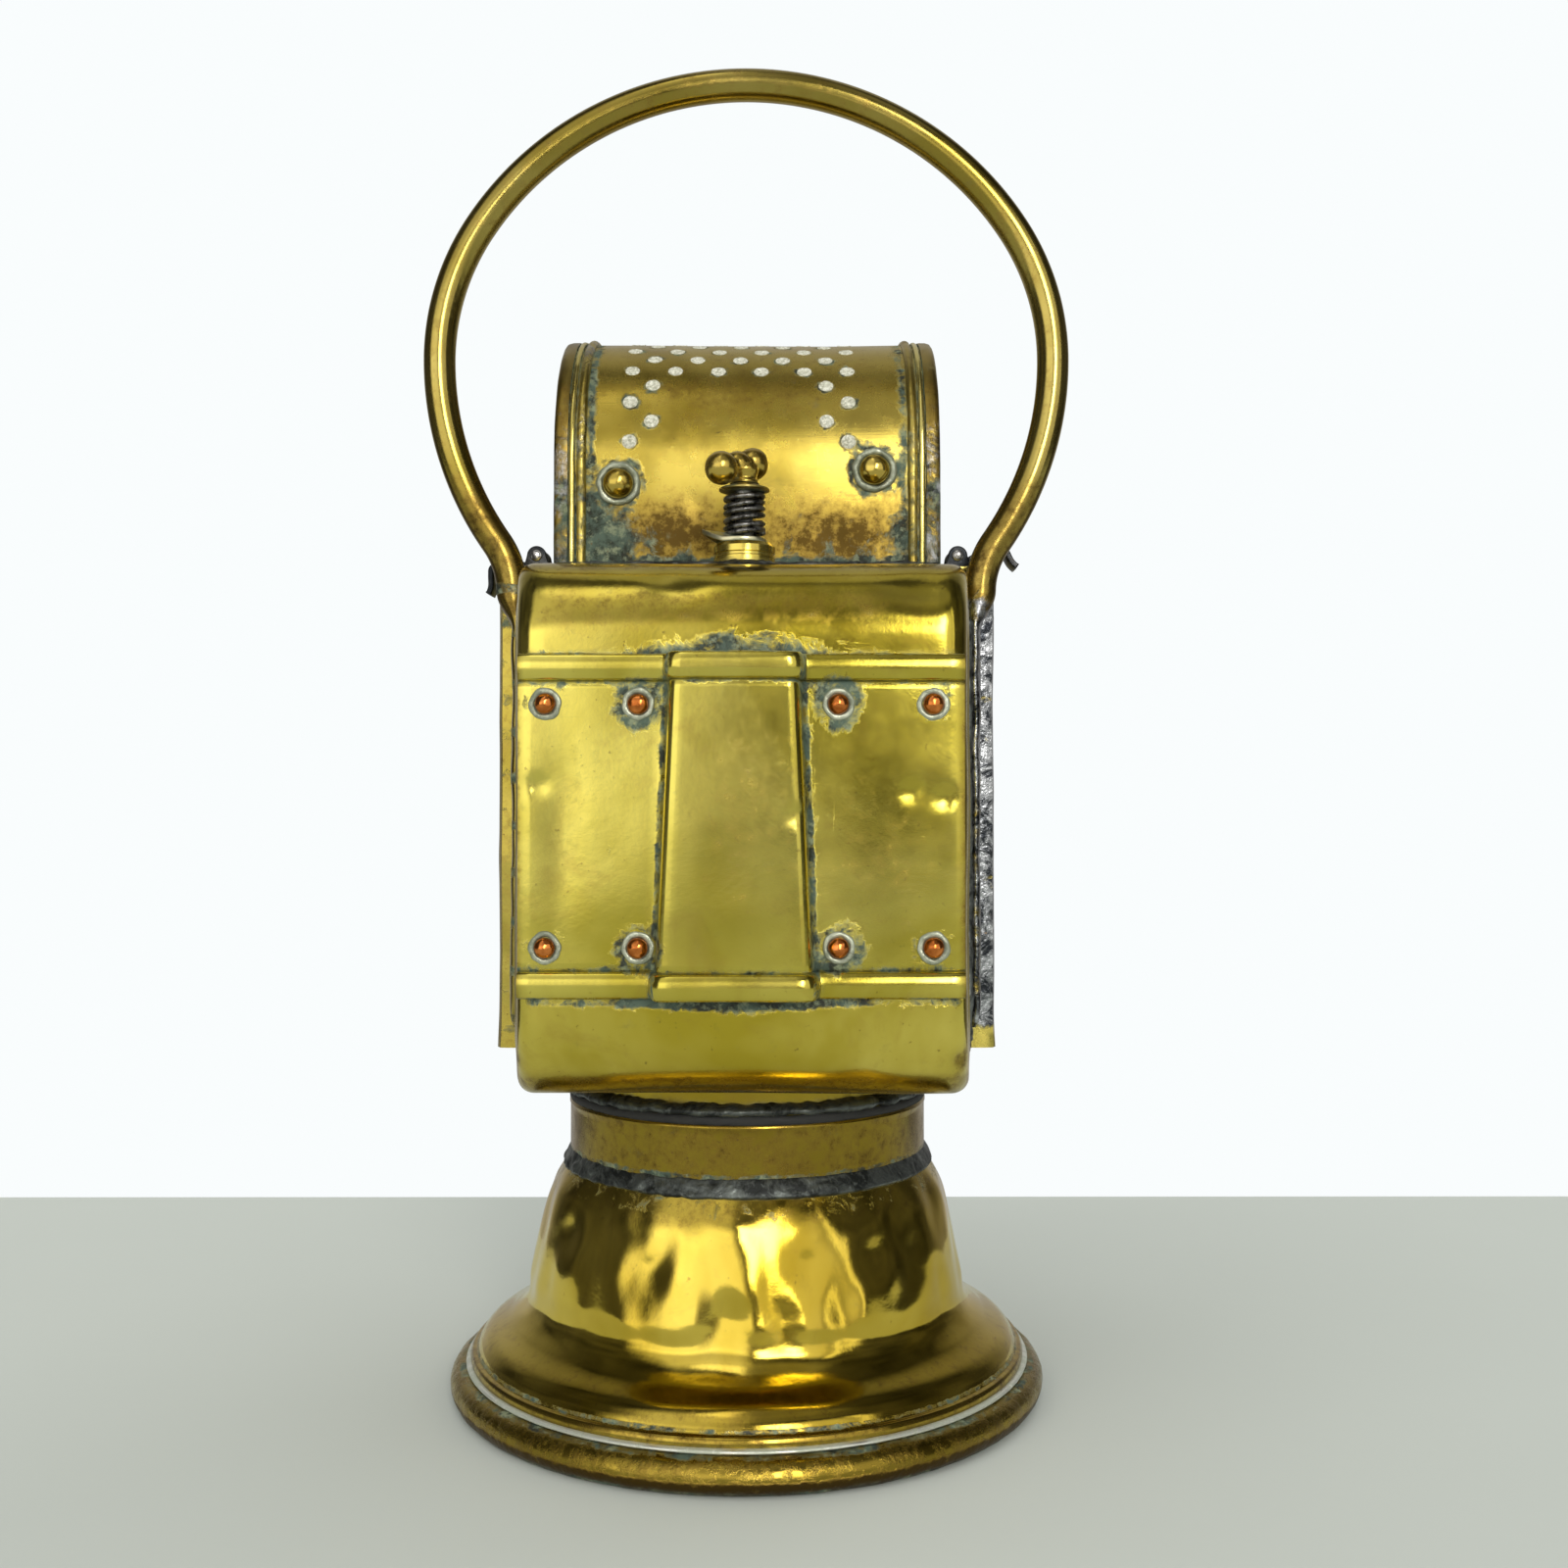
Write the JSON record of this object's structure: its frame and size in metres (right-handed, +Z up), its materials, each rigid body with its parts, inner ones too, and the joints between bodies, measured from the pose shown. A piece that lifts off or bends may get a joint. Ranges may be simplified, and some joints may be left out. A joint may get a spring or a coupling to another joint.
{
  "type": "carbide hand lamp",
  "caption": "Brass acetylene hand lamp: flared base under a square lamp house, water tank with drip valve, perforated chimney, round lens door and tube loop handle.",
  "frame": {"origin": "middle of the round foot, on the surface that it stands on", "axes": "+Z up, +Y out of the lens, so the water tank with its socket faces -Y and +X is to the right of someone looking at the tank"},
  "size_m": [0.1234, 0.1272, 0.2551],
  "materials": {
    "brass_case": "aged polished brass sheet with scratches, shallow dents and brown patina",
    "brass_turned": "turned brass, polished by handling",
    "brass_tube": "polished brass tube with fine scratches",
    "brass_dark": "brass darkened by heat, with grey green oxide",
    "solder_grey": "dull lead tin solder with a lumpy oxidised surface",
    "copper": "reddish copper, burnished on top and dark round its edge",
    "steel_black": "blackened spring steel with brown rust specks",
    "steel_bright": "drawn steel wire, lightly tarnished",
    "reflector_plate": "silvered copper bowl with a slight yellow tarnish",
    "lens_clear": "clear pressed glass with a faint green edge",
    "gasket_rubber": "perished black rubber",
    "filter_felt": "pressed wool felt",
    "burner_stone": "white fired steatite"
  },
  "bodies": {
    "base": {"foot_bell": "brass_case", "foot_rim": "brass_turned", "rim_solder": "solder_grey", "base_floor": "brass_dark", "neck_sleeve": "brass_turned", "sleeve_solder": "solder_grey", "carbide_pot": "brass_dark"},
    "seal": {"neck_gasket": "gasket_rubber"},
    "lamp_house": {"upper_collar": "brass_turned", "collar_solder": "solder_grey", "gas_filter": "filter_felt", "case_floor": "brass_dark", "case_side_left": "brass_case", "case_side_right": "brass_case", "case_rear_wall": "brass_case", "front_frame": "brass_case", "tank_pan": "brass_case", "tank_solder": "solder_grey", "bracket_plate": "brass_case", "bracket_rivets": "copper", "rivet_seats": "solder_grey", "carry_handle": "brass_tube", "valve_collar": "brass_turned", "valve_index": "brass_turned", "valve_seat": "brass_turned", "drip_tube": "brass_tube", "valve_spring": "steel_black", "gas_pipe": "brass_tube", "burner_body": "brass_turned", "burner_tip": "burner_stone", "reflector": "reflector_plate", "reflector_stud": "brass_dark", "snap_spring": "steel_black", "hinge_fixed": "brass_turned", "hinge_pins": "steel_bright"},
    "valve_cap": {"spring_cap": "brass_turned"},
    "valve_stem": {"valve_spindle": "brass_turned", "tee_handle": "brass_turned"},
    "roof": {"roof_plate": "brass_case", "chimney_hood": "brass_case", "chimney_cap_left": "brass_dark", "chimney_cap_right": "brass_dark", "chimney_baffle": "brass_dark", "baffle_rivets": "brass_dark", "baffle_rivet_seats": "solder_grey", "clip_lugs": "brass_dark", "clip_pins": "steel_black"},
    "clip_left": {"roof_clip_left": "steel_black"},
    "clip_right": {"roof_clip_right": "steel_black"},
    "door": {"door_pan": "brass_case", "lens_glass": "lens_clear", "lens_bezel": "brass_turned", "lens_retainer": "brass_dark", "door_knob": "brass_turned", "snap_nib": "brass_turned", "hinge_moving": "brass_turned"}
  },
  "joints": [
    {"name": "head_rise", "type": "slide", "parent": "base", "child": "seal", "axis": [0, 0, 1], "range_m": [0, 0.0075]},
    {"name": "head_turn", "type": "hinge", "parent": "seal", "child": "lamp_house", "pos_m": [0, 0, 0.0585], "axis": [0, 0, 1], "range_deg": [0, 1080]},
    {"name": "valve_rise", "type": "slide", "parent": "lamp_house", "child": "valve_cap", "axis": [0, 0, 1], "range_m": [0, 0.0014], "deforming": ["valve_spring"]},
    {"name": "valve_turn", "type": "hinge", "parent": "valve_cap", "child": "valve_stem", "pos_m": [0, -0.033, 0.1752], "axis": [0, 0, 1], "range_deg": [0, 720]},
    {"name": "roof_lift", "type": "slide", "parent": "lamp_house", "child": "roof", "axis": [0, 0, 1], "range_m": [0, 0.06]},
    {"name": "clip_left_turn", "type": "hinge", "parent": "roof", "child": "clip_left", "pos_m": [-0.0413, -0.005, 0.1629], "axis": [0, 1, 0], "range_deg": [0, 100]},
    {"name": "clip_right_turn", "type": "hinge", "parent": "roof", "child": "clip_right", "pos_m": [0.0413, -0.005, 0.1629], "axis": [0, -1, 0], "range_deg": [-28, 72]},
    {"name": "door_swing", "type": "hinge", "parent": "lamp_house", "child": "door", "pos_m": [-0.05, 0.0536, 0.1129], "axis": [0, 0, 1], "range_deg": [0, 115]}
  ],
  "couplings": [
    {"joint": "head_rise", "follows": "head_turn", "m_per_rad": 0.0003978},
    {"joint": "valve_rise", "follows": "valve_turn", "m_per_rad": 0.0001114}
  ]
}
